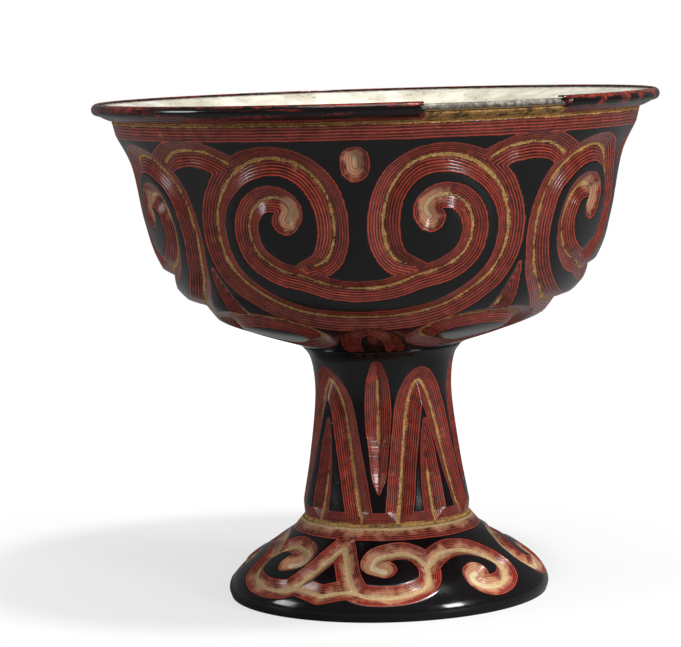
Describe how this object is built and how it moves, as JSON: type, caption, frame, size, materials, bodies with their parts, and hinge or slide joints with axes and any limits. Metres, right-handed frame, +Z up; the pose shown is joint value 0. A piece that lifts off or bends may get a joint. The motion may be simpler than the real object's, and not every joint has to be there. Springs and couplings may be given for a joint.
{
  "type": "lacquer stem cup",
  "caption": "Deep round bowl with an everted metal-lined lip on a waisted stem and a hollow spreading foot, in thick carved lacquer over turned wood.",
  "frame": {"origin": "centre of the ring that the foot stands on", "axes": "+Z up along the cup's axis; -Y is the side that the picture shows"},
  "size_m": [0.125, 0.125, 0.1108],
  "materials": {
    "liner_metal": "worn, tarnished in patches",
    "turned_wood": "bare, inside the lacquer",
    "ochre_ground": "matt",
    "black_lacquer": "polished",
    "carved_lacquer": "polished black over red and black layers"
  },
  "bodies": {
    "root": {"liner": "liner_metal", "bowl_core": "turned_wood", "stem_core": "turned_wood", "bowl_ground": "ochre_ground", "stem_ground": "ochre_ground", "lip_lacquer": "black_lacquer", "bowl_lacquer": "carved_lacquer", "stem_lacquer": "carved_lacquer", "foot_lacquer": "carved_lacquer", "underside_lacquer": "black_lacquer"}
  },
  "joints": []
}
